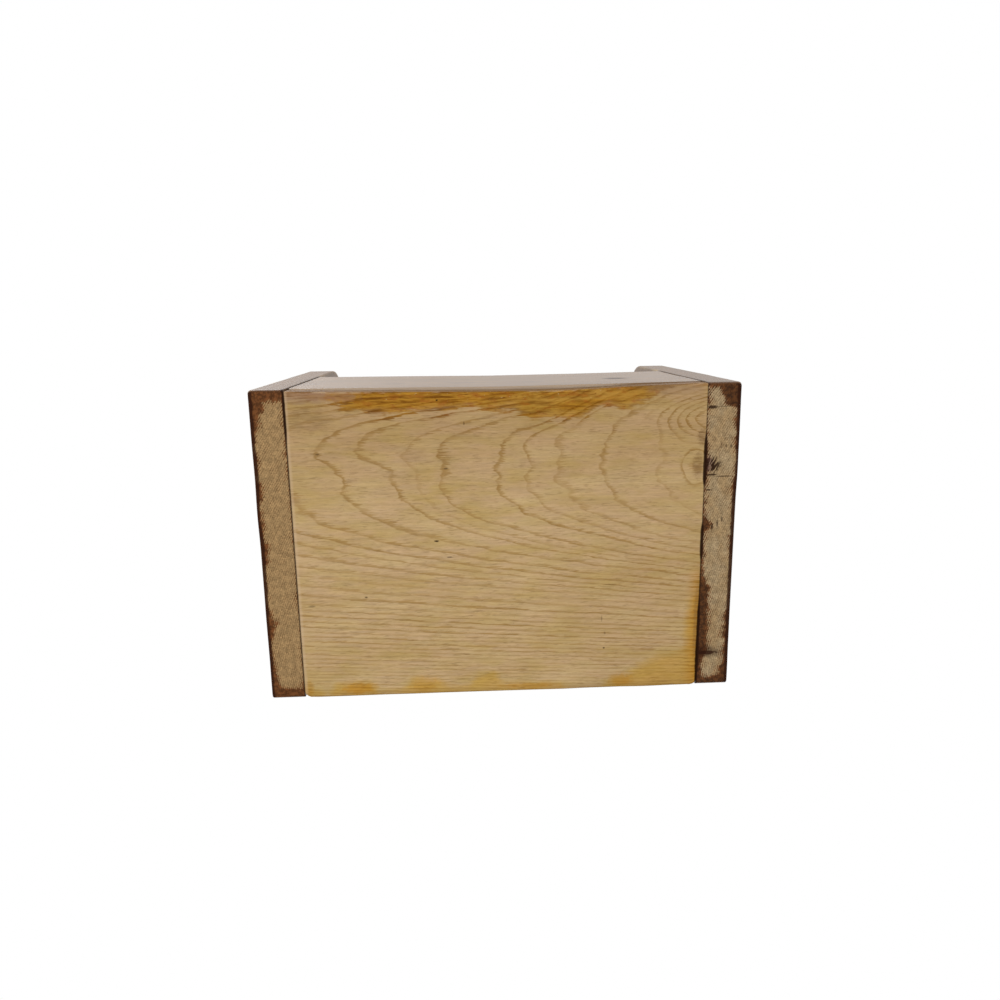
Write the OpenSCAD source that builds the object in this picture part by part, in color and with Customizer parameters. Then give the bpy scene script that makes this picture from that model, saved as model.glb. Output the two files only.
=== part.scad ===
// Tool caddy: a nailed wooden tray between two tall end boards, carried by a round rod.
// The origin is on the floor at the middle of the base. X runs along the rod, -Y is the front
// and Z is up. All sizes are in millimetres.

/* [Tray] */
// Clear length of the tray, between the end boards
tray_l = 232; // [160:1:400]
// Depth of the caddy, from front face to back face
caddy_d = 180; // [140:1:260]
// Thickness of the bottom board
bottom_t = 12.7; // [9:0.1:19]
// Height of the front and back boards, which stand on the bottom board
side_h = 99; // [60:1:140]
// Thickness of the front and back boards
side_t = 12.7; // [9:0.1:19]

/* [End boards] */
// Thickness of the end boards
end_t = 19; // [12:0.5:28]
// Height of the end boards
end_h = 216; // [200:1:320]
// Radius of the rounded shoulders
shoulder_r = 42; // [10:1:60]

/* [Handle rod] */
// Diameter of the rod
rod_d = 25; // [19:0.5:32]
// Depth of the rod's axis below the top of the end boards
rod_drop = 28; // [20:0.5:45]
// Clearance all round the rod in its holes
rod_fit = 0.1; // [0.05:0.05:0.3]

/* [Nails] */
// Length of the nails that hold the tray to the end boards
nail_l = 50; // [35:1:60]
// Diameter of a nail's shank
nail_d = 2.4; // [1.8:0.1:3]
// Diameter of a nail's head
nail_head_d = 3.6; // [3.2:0.1:5]
// Number of nails in each end of the front and back boards
side_nails = 3; // [2:1:5]
// Number of nails in each end of the bottom board
bottom_nails = 4; // [2:1:6]
// Distance from the edge of a board to its first nail
nail_margin = 18; // [10:0.5:25]
// Depth of the brads that pin the rod, past the rod's axis
brad_past = 4; // [2:0.5:10]
// Diameter of a brad's shank
brad_d = 1.6; // [1.2:0.1:2]
// Diameter of a brad's head
brad_head_d = 2.6; // [2.2:0.1:3.5]

/* [Hidden] */
$fn = 96;
// A nail's barrel-shaped head is this tall, its point this long and its tip this wide
head_h = 2;
point_l = 5;
tip_d = 0.4;
// Cuts run this far past the faces that they open through
cut_past = 1;

end_inner_x = tray_l / 2;
end_outer_x = end_inner_x + end_t;
end_middle_x = end_inner_x + end_t / 2;
front_y = -caddy_d / 2;
side_middle_y = caddy_d / 2 - side_t / 2;
rod_z = end_h - rod_drop;
rod_l = tray_l + 2 * end_t;
brad_l = rod_drop + brad_past;

// Places from one margin to the other, evenly spaced
function spread(low, high, count) = [for (i = [0 : count - 1]) low + (high - low) * i / (count - 1)];

bottom_nail_ys = spread(-caddy_d / 2 + nail_margin, caddy_d / 2 - nail_margin, bottom_nails);
side_nail_zs = spread(bottom_t + nail_margin, bottom_t + side_h - nail_margin, side_nails);

// A finishing nail or brad, with the top of its head at the origin, pointing along +Z
module nail(length, shank_d, head_d) {
    rotate_extrude()
        polygon([
            [0, 0],
            [head_d / 2, 0],
            [head_d / 2, head_h / 2],
            [shank_d / 2, head_h],
            [shank_d / 2, length - point_l],
            [tip_d / 2, length],
            [0, length]
        ]);
}

module tray_nail() {
    nail(nail_l, nail_d, nail_head_d);
}

module rod_brad() {
    nail(brad_l, brad_d, brad_head_d);
}

// The nails of each joint at the left end, driven along +X from the outer face
module bottom_nail_row() {
    for (y = bottom_nail_ys)
        translate([-end_outer_x, y, bottom_t / 2])
            rotate([0, 90, 0])
                tray_nail();
}

module side_nail_row(side_y) {
    for (z = side_nail_zs)
        translate([-end_outer_x, side_y, z])
            rotate([0, 90, 0])
                tray_nail();
}

module front_nail_row() {
    side_nail_row(-side_middle_y);
}

module back_nail_row() {
    side_nail_row(side_middle_y);
}

// The brad that pins the rod at the left end, driven down from the top edge
module brad_in_place() {
    translate([-end_middle_x, 0, end_h])
        rotate([180, 0, 0])
            rod_brad();
}

module both_ends() {
    children();
    mirror([1, 0, 0]) children();
}

// Outline of an end board: straight edges, rounded shoulders and a flat top
module end_outline() {
    difference() {
        translate([-caddy_d / 2, 0])
            square([caddy_d, end_h]);
        for (side = [-1, 1])
            translate([side * (caddy_d / 2 - shoulder_r), end_h - shoulder_r])
                difference() {
                    translate([side > 0 ? 0 : -shoulder_r - cut_past, 0])
                        square([shoulder_r + cut_past, shoulder_r + cut_past]);
                    circle(r = shoulder_r);
                }
    }
}

module end_board() {
    difference() {
        translate([-end_outer_x, 0, 0])
            rotate([90, 0, 90])
                linear_extrude(height = end_t)
                    end_outline();
        translate([-end_outer_x - cut_past, 0, rod_z])
            rotate([0, 90, 0])
                cylinder(d = rod_d + 2 * rod_fit, h = end_t + 2 * cut_past);
        bottom_nail_row();
        front_nail_row();
        back_nail_row();
        brad_in_place();
    }
}

module left_end_board() {
    color("saddlebrown") end_board();
}

module right_end_board() {
    color("saddlebrown") mirror([1, 0, 0]) end_board();
}

module bottom_board() {
    color("burlywood")
        difference() {
            translate([-end_inner_x, front_y, 0])
                cube([tray_l, caddy_d, bottom_t]);
            both_ends() bottom_nail_row();
        }
}

module front_board() {
    color("goldenrod")
        difference() {
            translate([-end_inner_x, front_y, bottom_t])
                cube([tray_l, side_t, side_h]);
            both_ends() front_nail_row();
        }
}

module back_board() {
    color("goldenrod")
        difference() {
            translate([-end_inner_x, -front_y - side_t, bottom_t])
                cube([tray_l, side_t, side_h]);
            both_ends() back_nail_row();
        }
}

module handle_rod() {
    color("peru")
        difference() {
            translate([-rod_l / 2, 0, rod_z])
                rotate([0, 90, 0])
                    cylinder(d = rod_d, h = rod_l);
            both_ends() brad_in_place();
        }
}

module left_bottom_nails() {
    color("dimgray") bottom_nail_row();
}

module left_front_nails() {
    color("dimgray") front_nail_row();
}

module left_back_nails() {
    color("dimgray") back_nail_row();
}

module left_rod_brad() {
    color("dimgray") brad_in_place();
}

module right_bottom_nails() {
    color("dimgray") mirror([1, 0, 0]) bottom_nail_row();
}

module right_front_nails() {
    color("dimgray") mirror([1, 0, 0]) front_nail_row();
}

module right_back_nails() {
    color("dimgray") mirror([1, 0, 0]) back_nail_row();
}

module right_rod_brad() {
    color("dimgray") mirror([1, 0, 0]) brad_in_place();
}

bottom_board();
front_board();
back_board();
left_end_board();
right_end_board();
handle_rod();
left_bottom_nails();
left_front_nails();
left_back_nails();
right_bottom_nails();
right_front_nails();
right_back_nails();
left_rod_brad();
right_rod_brad();
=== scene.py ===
"""A wooden tool caddy: old pine boards nailed into a tray between two tall end boards, with a round rod.

The boards and the rod are surfaces worked out with numpy, in millimetres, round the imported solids. Every point
carries some of these named numbers, its marks, which the finishes read:
  growth   the number of the growth ring, whose fraction is the place within that ring
  vigour   how strong that ring is, where 1 is usual
  width    how wide that ring is on the face, in millimetres
  arris    the distance to the nearest edge, in millimetres
  varnish  how far inside the varnished area it lies, in millimetres, and negative on bare wood
  thin     1 where that varnish is a thin run, and 0 where it is a full coat
  dirt     how far from the end joints their dirt reaches, in millimetres
  soak     how far inside the soaked area of a sawn end it lies, in millimetres, and negative outside it
  grime    how deep in a corner of the tray it lies, from 0 to 1
"""

import math

import bpy
import numpy as np
from mathutils import Matrix, Vector


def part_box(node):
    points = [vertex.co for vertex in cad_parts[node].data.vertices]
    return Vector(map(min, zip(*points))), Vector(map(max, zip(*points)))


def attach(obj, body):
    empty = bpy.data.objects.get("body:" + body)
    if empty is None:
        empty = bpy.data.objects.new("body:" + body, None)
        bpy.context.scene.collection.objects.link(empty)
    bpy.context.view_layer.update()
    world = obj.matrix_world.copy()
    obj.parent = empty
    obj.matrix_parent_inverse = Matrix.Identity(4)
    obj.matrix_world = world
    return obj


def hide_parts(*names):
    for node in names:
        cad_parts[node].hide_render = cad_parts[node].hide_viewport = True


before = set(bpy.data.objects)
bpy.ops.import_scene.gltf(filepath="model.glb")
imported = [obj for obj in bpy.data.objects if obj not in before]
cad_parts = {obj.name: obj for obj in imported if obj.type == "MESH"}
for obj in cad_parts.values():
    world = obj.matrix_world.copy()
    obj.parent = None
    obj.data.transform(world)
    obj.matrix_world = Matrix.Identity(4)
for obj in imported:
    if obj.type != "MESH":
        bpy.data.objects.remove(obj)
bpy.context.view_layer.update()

MM = 0.001
BODY = "root"
X, Y, Z = range(3)


def box_mm(node):
    """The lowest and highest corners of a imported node, in millimetres."""
    return tuple(np.array(corner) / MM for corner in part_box(node))


# Sizes that the boards share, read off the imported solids
_, bottom_high = box_mm("bottom_board")
_, front_high = box_mm("front_board")
end_low, end_high = box_mm("right_end_board")
rod_low, rod_high = box_mm("handle_rod")
TRAY_HALF_LENGTH = bottom_high[X]
TRAY_HALF_DEPTH = -front_high[Y]
TRAY_TOP = front_high[Z]
TRAY_FLOOR = bottom_high[Z]
HALF_DEPTH = end_high[Y]
END_HEIGHT = end_high[Z]
END_THICKNESS = end_high[X] - end_low[X]
END_MIDDLE_X = (end_low[X] + end_high[X]) / 2
ROD_RADIUS = (rod_high[Z] - rod_low[Z]) / 2
ROD_HEIGHT = (rod_high[Z] + rod_low[Z]) / 2
# The radius of the end boards' shoulders, and of the bore that the rod sits in
SHOULDER_RADIUS = 42
BORE_RADIUS = ROD_RADIUS + 0.1

# The tray's boards stop this far short of the end boards
JOINT_GAP = 0.04
# The least and the greatest radius of a worn arris, its radius at a joint, and the rows of points round it
LEAST_ARRIS = 0.5
WIDEST_ARRIS = 2.2
JOINT_ARRIS = 0.18
ARRIS_ROWS = 6
# How far apart the points on the faces of the bottom board and of the side boards are
BOTTOM_STEP = 1.6
SIDE_STEP = 2.0
# How far from a corner of the tray its darkening reaches
CORNER_DARK_REACH = 14
# Two heights or depths closer than this are the same
HAIR = 0.01

# Numpy surfaces


def ripple(points, size, seed):
    """Smooth random numbers from -1 to 1 in lumps of about that size: a seeded block of numbers, blended by a
    smooth step between the corners of the cell that a point lies in."""
    block_side = 24
    block = np.random.default_rng(seed).uniform(-1, 1, (block_side,) * 3)
    cell = points / np.asarray(size)
    corner = np.floor(cell).astype(int)
    share = cell - corner
    share = share * share * (3 - 2 * share)
    total = np.zeros(len(points))
    for step in np.ndindex(2, 2, 2):
        weight = np.prod(np.where(np.array(step, bool), share, 1 - share), axis=1)
        total += weight * block[tuple(((corner + step) % block_side).T)]
    return total


def waves(points, depth, size, seed):
    """How far a face sinks in shallow waves of that size: from nothing to twice that depth."""
    return depth * (1 + ripple(points, size, seed))


def smooth_step(value, low, high):
    """0 below low, 1 above high and a smooth step between."""
    share = np.clip((value - low) / (high - low), 0, 1)
    return share * share * (3 - 2 * share)


def by_place(points, axis, rows):
    """A number looked up by place along an axis, on straight lines between rows of a place and its number."""
    places, numbers = zip(*rows)
    return np.interp(points[:, axis], places, numbers)


def graded_places(low, high, step):
    """Places from low to high, about a step apart, with extra rows inside the widest arris at each end."""
    rows = WIDEST_ARRIS * (1 - np.tan(np.linspace(np.pi / 4, 0, ARRIS_ROWS)))
    count = max(2, round((high - low) / step))
    inner = np.linspace(low + WIDEST_ARRIS, high - WIDEST_ARRIS, count)
    return np.concatenate([low + rows[:-1], inner, high - rows[-2::-1]])


def box_skin(low, high, step):
    """The skin of a lattice box: the points on its six sides, shared along the edges, and its quads, which
    face outwards."""
    lines = [graded_places(a, b, step) for a, b in zip(low, high)]
    lattice = np.stack(np.meshgrid(*lines, indexing="ij"), -1)
    number = np.arange(lattice.size // 3).reshape(lattice.shape[:3])
    sides = []
    for axis in (X, Y, Z):
        for end in (0, -1):
            side = np.take(number, end, axis=axis)
            corners = [side[:-1, :-1], side[1:, :-1], side[1:, 1:], side[:-1, 1:]]
            quads = np.stack(corners, -1).reshape(-1, 4)
            faces_in = (end == 0) != (axis == Y)
            sides.append(quads[:, ::-1] if faces_in else quads)
    used, quads = np.unique(np.concatenate(sides), return_inverse=True)
    return lattice.reshape(-1, 3)[used], quads.reshape(-1, 4)


def tray_board(node, step):
    """A board of the tray as a lattice box, a hair shorter than the tray: its corners, its points and its
    quads."""
    low, high = box_mm(node)
    low[X] += JOINT_GAP
    high[X] -= JOINT_GAP
    points, quads = box_skin(low, high, step)
    return low, high, points, quads


def round_arrises(points, low, high, radius):
    """A tray board's skin with worn edges, which are nearly sharp at the end joints: each point keeps its
    direction from a core that lies one radius inside, and goes to that radius from it."""
    joint = smooth_step(np.abs(points[:, X]), TRAY_HALF_LENGTH - 6, TRAY_HALF_LENGTH - 3)
    radius = np.clip(radius, LEAST_ARRIS, WIDEST_ARRIS) * (1 - joint) + JOINT_ARRIS * joint
    middle = (low + high) / 2
    core_half = (high - low) / 2 - radius[:, None]
    core = np.clip(points - middle, -core_half, core_half)
    away = points - middle - core
    return middle + core + away * (radius / np.linalg.norm(away, axis=1))[:, None]


def arris_distance(points, low, high):
    """From a point on a box's skin to the nearest edge: the second least of its distances to the six
    sides."""
    inside = np.minimum(points - low, high - points)
    return np.sort(inside, axis=1)[:, 1]


def tray_corner_depth(points):
    """How deep in a corner of the tray a point lies, from 0 to 1: a smooth step over the second least of its
    distances to the tray's nearest end, its nearest side and its floor."""
    inside = np.stack(
        [
            TRAY_HALF_LENGTH - np.abs(points[:, X]),
            TRAY_HALF_DEPTH - np.abs(points[:, Y]),
            points[:, Z] - TRAY_FLOOR,
        ],
        1,
    )
    touches = np.all(inside > -1, axis=1) & (points[:, Z] < TRAY_TOP)
    return np.where(touches, 1 - smooth_step(np.sort(inside, axis=1)[:, 1], 0, CORNER_DARK_REACH), 0)


def grid_quads(rows, columns):
    """Quads of a grid that closes on itself round its columns."""
    start = np.arange(rows - 1)[:, None] * columns
    here = np.arange(columns)[None, :]
    beside = (here + 1) % columns
    corners = [start + here, start + beside, start + columns + beside, start + columns + here]
    return np.stack(corners, -1).reshape(-1, 4)


def facing_out(points, quads):
    """The quads, turned round if the volume that they enclose comes out negative."""
    a, b, c, d = (points[quads[:, i]] for i in range(4))
    volume = np.einsum("ij,ij->i", a, np.cross(b, c)).sum()
    volume += np.einsum("ij,ij->i", a, np.cross(c, d)).sum()
    return quads[:, ::-1] if volume < 0 else quads


def make_piece(name, node, points, faces, marks, material):
    """A mesh piece from points in millimetres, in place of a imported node."""
    mesh = bpy.data.meshes.new(name)
    mesh.from_pydata((points * MM).tolist(), [], faces)
    for mark, numbers in marks.items():
        layer = mesh.attributes.new(mark, "FLOAT", "POINT")
        layer.data.foreach_set("value", np.asarray(numbers, np.float32))
    mesh.polygons.foreach_set("use_smooth", np.ones(len(mesh.polygons), bool))
    mesh.materials.append(material)
    piece = bpy.data.objects.new(name, mesh)
    bpy.context.scene.collection.objects.link(piece)
    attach(piece, BODY)
    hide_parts(node)


# Shader nodes


def shade(red, green, blue):
    """A colour written from 0 to 255 as a screen shows it, as the linear colour that a shader takes."""
    screen = np.array([red, green, blue]) / 255
    linear = np.where(screen <= 0.04045, screen / 12.92, ((screen + 0.055) / 1.055) ** 2.4)
    return (*linear.tolist(), 1.0)


class Web:
    """Adds nodes to one tree. Each method adds a node or a few and returns what comes out of them. What
    goes in is another node's output, to link, or a plain value, to set."""

    def __init__(self, tree):
        self.tree = tree

    def feed(self, socket, value):
        """Links an output to a socket, or sets a plain value there."""
        if isinstance(value, bpy.types.NodeSocket):
            self.tree.links.new(value, socket)
        else:
            socket.default_value = value

    def node(self, kind, inputs, **settings):
        """A node of that kind."""
        made = self.tree.nodes.new(kind)
        for name, value in settings.items():
            setattr(made, name, value)
        for name, value in inputs.items():
            self.feed(made.inputs[name], value)
        return made

    def math(self, operation, first, second=0.0):
        """An operation on one number or two."""
        return self.node("ShaderNodeMath", {0: first, 1: second}, operation=operation).outputs[0]

    def chain(self, operation, first, *others):
        """An operation on several numbers, from left to right."""
        for other in others:
            first = self.math(operation, first, other)
        return first

    def most(self, *numbers):
        """The largest of several numbers."""
        return self.chain("MAXIMUM", *numbers)

    def plus(self, *numbers):
        """The sum of several numbers."""
        return self.chain("ADD", *numbers)

    def less(self, *numbers):
        """The first number less the others."""
        return self.chain("SUBTRACT", *numbers)

    def times(self, *numbers):
        """The product of several numbers."""
        return self.chain("MULTIPLY", *numbers)

    def step(self, value, low, high):
        """0 at low, 1 at high and a smooth step between. It falls where low is the higher number."""
        inputs = {"Value": value, "From Min": low, "From Max": high}
        return self.node("ShaderNodeMapRange", inputs, interpolation_type="SMOOTHSTEP").outputs[0]

    def span(self, value, low, high):
        """A number from 0 to 1 as one from low to high."""
        return self.node("ShaderNodeMapRange", {"Value": value, "To Min": low, "To Max": high}).outputs[0]

    def blend(self, kind, first, second, shares):
        """Two colours blended in a way of that kind, by the product of those shares."""
        inputs = {0: self.times(*shares), 6: first, 7: second}
        return self.node("ShaderNodeMix", inputs, data_type="RGBA", blend_type=kind).outputs[2]

    def tinted(self, colour, tint, *shares):
        """A colour with that much of a tint mixed in."""
        return self.blend("MIX", colour, tint, shares)

    def filmed(self, colour, film, *shares):
        """A colour with that much of it under a film, which multiplies it."""
        return self.blend("MULTIPLY", colour, film, shares)

    def uneven(self, colour, mask, low, high):
        """A colour times a number that goes from low to high with a mask."""
        return self.filmed(colour, self.span(mask, low, high), 1.0)

    def stretch(self, vector, size):
        """A vector in units of that size along each axis."""
        inputs = {0: vector, 1: tuple(1 / s for s in size)}
        return self.node("ShaderNodeVectorMath", inputs, operation="MULTIPLY").outputs[0]

    def noise(self, vector, size, detail=2, roughness=0.5):
        """Noise from 0 to 1 in lumps of that size, in the vector's own units."""
        inputs = {"Vector": self.stretch(vector, size), "Scale": 1.0, "Detail": detail, "Roughness": roughness}
        return self.node("ShaderNodeTexNoise", inputs).outputs[0]

    def swing(self, vector, size, detail=2, roughness=0.5):
        """The same noise about zero, from -0.5 to 0.5."""
        return self.less(self.noise(vector, size, detail, roughness), 0.5)

    def patches(self, vector, size, low, high, detail=2, roughness=0.5):
        """The same noise as a mask, which is 0 where the noise is at low and 1 where it is at high."""
        return self.step(self.noise(vector, size, detail, roughness), low, high)

    def place(self):
        """Where a point lies in the caddy's frame, in millimetres."""
        coordinates = self.node("ShaderNodeTexCoord", {}).outputs["Object"]
        return self.stretch(coordinates, (MM, MM, MM))

    def axes(self, vector):
        """The three numbers of a vector."""
        return self.node("ShaderNodeSeparateXYZ", {0: vector}).outputs

    def vector(self, *numbers):
        """A vector of three numbers."""
        return self.node("ShaderNodeCombineXYZ", dict(enumerate(numbers))).outputs[0]

    def turned(self, vector, order):
        """A vector with its axes in another order."""
        axes = self.axes(vector)
        return self.vector(*(axes[axis] for axis in order))

    def mark(self, name):
        """One of a piece's marks."""
        return self.node("ShaderNodeAttribute", {}, attribute_name=name).outputs["Fac"]

    def group(self, tree, **inputs):
        """A node group placed in this tree. Its inputs are named with underscores for spaces."""
        made = self.tree.nodes.new("ShaderNodeGroup")
        made.node_tree = tree
        for name, value in inputs.items():
            self.feed(made.inputs[name.replace("_", " ")], value)
        return made.outputs

    def bump(self, height, depth_mm):
        """A normal for a surface whose height goes from 0 to 1 over that depth."""
        inputs = {"Height": height, "Distance": depth_mm * MM, "Strength": 1.0}
        return self.node("ShaderNodeBump", inputs).outputs[0]


def new_group(name, inputs, outputs):
    """An empty node group: its tree, a web for it, what comes in and where its results go."""
    tree = bpy.data.node_groups.new(name, "ShaderNodeTree")
    for socket in inputs:
        kind = "NodeSocketVector" if socket in ("Vector", "Middle") else "NodeSocketFloat"
        tree.interface.new_socket(name=socket, in_out="INPUT", socket_type=kind)
    for socket in outputs:
        tree.interface.new_socket(name=socket, in_out="OUTPUT", socket_type="NodeSocketFloat")
    comes_in = tree.nodes.new("NodeGroupInput").outputs
    goes_out = tree.nodes.new("NodeGroupOutput").inputs
    return tree, Web(tree), comes_in, goes_out


def growth_rings():
    """Growth rings. The growth mark, shaken a little along the grain, counts the rings. In each ring the
    pale early wood darkens into a band of late wood, whose inner edge is drawn out in feathers along the
    grain, and the band ends in a soft line. Some rings are stronger than others, and each fades in and out
    along the grain."""
    inputs = ("Vector", "Growth", "Vigour", "Shake", "Jag", "Late Wood")
    tree, web, given, result = new_group("growth rings", inputs, ("Late", "Line"))
    grain = given["Vector"]
    late_wood = given["Late Wood"]
    shaken = web.times(web.swing(grain, (40, 12, 12)), given["Shake"])
    fine = web.times(web.swing(grain, (6, 0.7, 0.7), 2, 0.6), given["Jag"])
    jagged = web.times(web.plus(web.swing(grain, (13, 2.6, 2.6)), fine), late_wood)
    number = web.plus(given["Growth"], shaken, jagged)
    through = web.math("FRACT", number)
    # Each ring's own chance is noise along its number, at a step that keeps neighbours apart
    own = web.times(web.math("FLOOR", number), 0.73)
    chance = web.node("ShaderNodeTexNoise", {"W": own}, noise_dimensions="1D").outputs[0]
    stronger = web.span(web.step(chance, 0.3, 0.65), 0.55, 1.1)
    fades = web.span(web.patches(grain, (26, 5, 5), 0.3, 0.62), 0.5, 1.1)
    strength = web.times(stronger, given["Vigour"], fades)
    feathers = web.span(web.patches(grain, (11, 0.8, 0.8), 0.3, 0.7, 2, 0.6), 0.7, 1.9)

    def short_of_end(share):
        """Where in the ring that share of its late wood is still to come."""
        return web.less(1.0, web.times(late_wood, share))

    starts = short_of_end(feathers)
    full = web.plus(starts, web.times(late_wood, 0.6))
    ends = web.step(through, 1.0, short_of_end(0.35))
    line = web.step(through, short_of_end(0.9), short_of_end(0.35))
    web.feed(result["Late"], web.times(web.step(through, starts, full), ends, strength))
    web.feed(result["Line"], web.times(line, ends, strength))
    return tree


def wood_fibres():
    """What lies between the rings, all drawn out along the grain, which is the vector's first axis: fine
    fuzz, longer streaks, broad cloudy bands, patches of a pinker hue, short dark pores in crowds and short
    pale flecks."""
    outputs = ("Fuzz", "Streaks", "Clouds", "Hue", "Pores", "Flecks")
    tree, web, given, result = new_group("wood fibres", ("Vector",), outputs)
    grain = given["Vector"]
    dashes = web.noise(grain, (5, 0.5, 0.5), 1)
    crowded = web.plus(dashes, web.times(web.noise(grain, (22, 6, 6), 1), 0.3))
    web.feed(result["Fuzz"], web.patches(grain, (4.5, 0.75, 0.75), 0.25, 0.75, 2, 0.6))
    web.feed(result["Streaks"], web.patches(grain, (26, 1.3, 1.3), 0.3, 0.7, 3, 0.6))
    web.feed(result["Clouds"], web.patches(grain, (60, 14, 14), 0.3, 0.7))
    web.feed(result["Hue"], web.patches(grain, (24, 8, 8), 0.35, 0.65))
    web.feed(result["Pores"], web.step(crowded, 0.75, 0.88))
    web.feed(result["Flecks"], web.step(dashes, 0.34, 0.2))
    return tree


def varnish_edge():
    """Where varnish lies: the varnish mark with a frayed edge, which runs further along the grain than
    across it. The cover is thin at its edge, full some way in, and leaves a haze beyond. A darker rim
    follows the edge, where the varnish gathered as it dried."""
    inputs = ("Vector", "Varnish", "Fray", "Softness")
    tree, web, given, result = new_group("varnish edge", inputs, ("Cover", "Rim"))
    streaks = web.times(web.swing(given["Vector"], (18, 1.1, 1.1), 2, 0.6), 0.6)
    frayed = web.plus(web.swing(given["Vector"], (12, 5, 5), 3, 0.6), streaks)
    inside = web.plus(given["Varnish"], web.times(frayed, given["Fray"]))
    wet = web.step(inside, web.less(0.0, given["Softness"]), given["Softness"])
    thick = web.span(web.step(inside, 0.0, 6.0), 0.8, 1.0)
    haze = web.times(web.step(inside, -26.0, 0.0), 0.14)
    web.feed(result["Cover"], web.most(web.times(wet, thick), haze))
    web.feed(result["Rim"], web.times(web.step(inside, -0.4, 0.5), web.step(inside, 2.2, 0.7)))
    return tree


def edge_wear():
    """Wear in handled patches: ragged along the arrises, within about a millimetre of the edge, and
    scattered scuffs on the faces."""
    tree, web, given, result = new_group("edge wear", ("Vector", "Arris", "Width"), ("Worn", "Scuffs"))
    place = given["Vector"]
    handled = web.noise(place, (38, 38, 38), 1)
    ragged = web.noise(place, (7, 7, 7), 4, 0.65)
    reach = web.times(ragged, web.step(handled, 0.35, 0.65), given["Width"])
    web.feed(result["Worn"], web.step(web.less(reach, given["Arris"]), -0.25, 0.5))
    scuffs = web.patches(place, (2.4, 2.4, 2.4), 0.62, 0.72, 4, 0.7)
    web.feed(result["Scuffs"], web.times(scuffs, web.step(handled, 0.5, 0.7)))
    return tree


def speck():
    """One small mark: an ellipse about its middle, with a ragged edge, coarser on a longer mark. Length is
    half its size along the first axis, and width half its size along the second."""
    tree, web, given, result = new_group("speck", ("Vector", "Middle", "Length", "Width"), ("Mark",))
    ends = {0: given["Vector"], 1: given["Middle"]}
    axes = web.axes(web.node("ShaderNodeVectorMath", ends, operation="SUBTRACT").outputs[0])
    along = web.math("DIVIDE", axes[X], given["Length"])
    across = web.math("DIVIDE", axes[Y], given["Width"])
    away = web.math("SQRT", web.plus(web.times(along, along), web.times(across, across)))
    lump = web.most(web.times(given["Length"], 0.2), 0.8)
    inputs = {"Vector": given["Vector"], "Scale": web.math("DIVIDE", 1.0, lump), "Detail": 3.0}
    ragged = web.times(web.node("ShaderNodeTexNoise", inputs).outputs[0], 0.8)
    web.feed(result["Mark"], web.step(web.plus(away, ragged), 1.3, 0.75))
    return tree


RINGS = growth_rings()
FIBRES = wood_fibres()
VARNISH = varnish_edge()
WEAR = edge_wear()
SPECK = speck()

# Finishes

# Bare old pine, as a screen shows it
PINE_PALE = shade(204, 178, 135)
PINE_WARM = shade(190, 163, 109)
PINE_PINK = shade(202, 171, 138)
PINE_FUZZ = shade(164, 134, 84)
PINE_LATE = shade(166, 132, 80)
PINE_LINE = shade(134, 98, 54)
PINE_PORE = shade(116, 84, 46)
PINE_FLECK = shade(212, 188, 146)
# Sawn end grain, wood that varnish soaked into, dirt that also serves as painted shade, and worn wood, with a
# pale arris that carries a painted highlight
GRAIN_GREY = shade(172, 149, 114)
GRAIN_BROWN = shade(166, 135, 93)
GRAIN_LINE = shade(112, 80, 50)
SOAKED = shade(120, 72, 38)
SOAKED_DARK = shade(82, 46, 20)
SOAKED_BLACK = shade(46, 20, 8)
# Dirt, also used as painted shade in the seam under the front board
DIRT_AND_SHADE = shade(40, 18, 5)
BRUISE = shade(96, 70, 72)
# Pale worn wood on an arris, with a painted highlight where light catches it
PALE_ARRIS = shade(208, 180, 148)
GREY_WOOD = shade(150, 120, 98)
BROWN_SMEAR = shade(112, 82, 50)
LOWER_EDGE = shade(172, 150, 126)
# Steel and its rust
STEEL = shade(112, 108, 104)
RUST = shade(84, 50, 32)
# Films of varnish, which let through these shares of the light
THIN_FILM = (0.99, 0.87, 0.48, 1.0)
DRIP_FILM = (0.92, 0.68, 0.18, 1.0)
AMBER_FILM = (0.9, 0.63, 0.13, 1.0)
PALE_AMBER_FILM = (0.96, 0.76, 0.27, 1.0)
DEEP_FILM = (0.44, 0.25, 0.04, 1.0)
RUSTY_FILM = (0.74, 0.4, 0.1, 1.0)
AGED_FILM = (0.84, 0.8, 0.75, 1.0)
HONEY_FILM = (0.37, 0.258, 0.09, 1.0)
EDGE_FILM = (0.46, 0.34, 0.16, 1.0)
BROWN_FILM = (0.3, 0.21, 0.115, 1.0)
THICK_FILM = (0.68, 0.6, 0.5, 1.0)
# How far from its arrises the varnish of a board and of the rod is worn, at most
BOARD_WEAR = 1.8
ROD_WEAR = 2.0


def new_material(name):
    """A material with a Principled shader: the material, its web and the shader's inputs."""
    material = bpy.data.materials.new(name)
    material.use_nodes = True
    return material, Web(material.node_tree), material.node_tree.nodes["Principled BSDF"].inputs


def set_gloss(shader, specular, coat_roughness):
    """The plain numbers of a dull wood under a varnish film."""
    shader["Specular IOR Level"].default_value = specular
    shader["Coat Roughness"].default_value = coat_roughness


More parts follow.
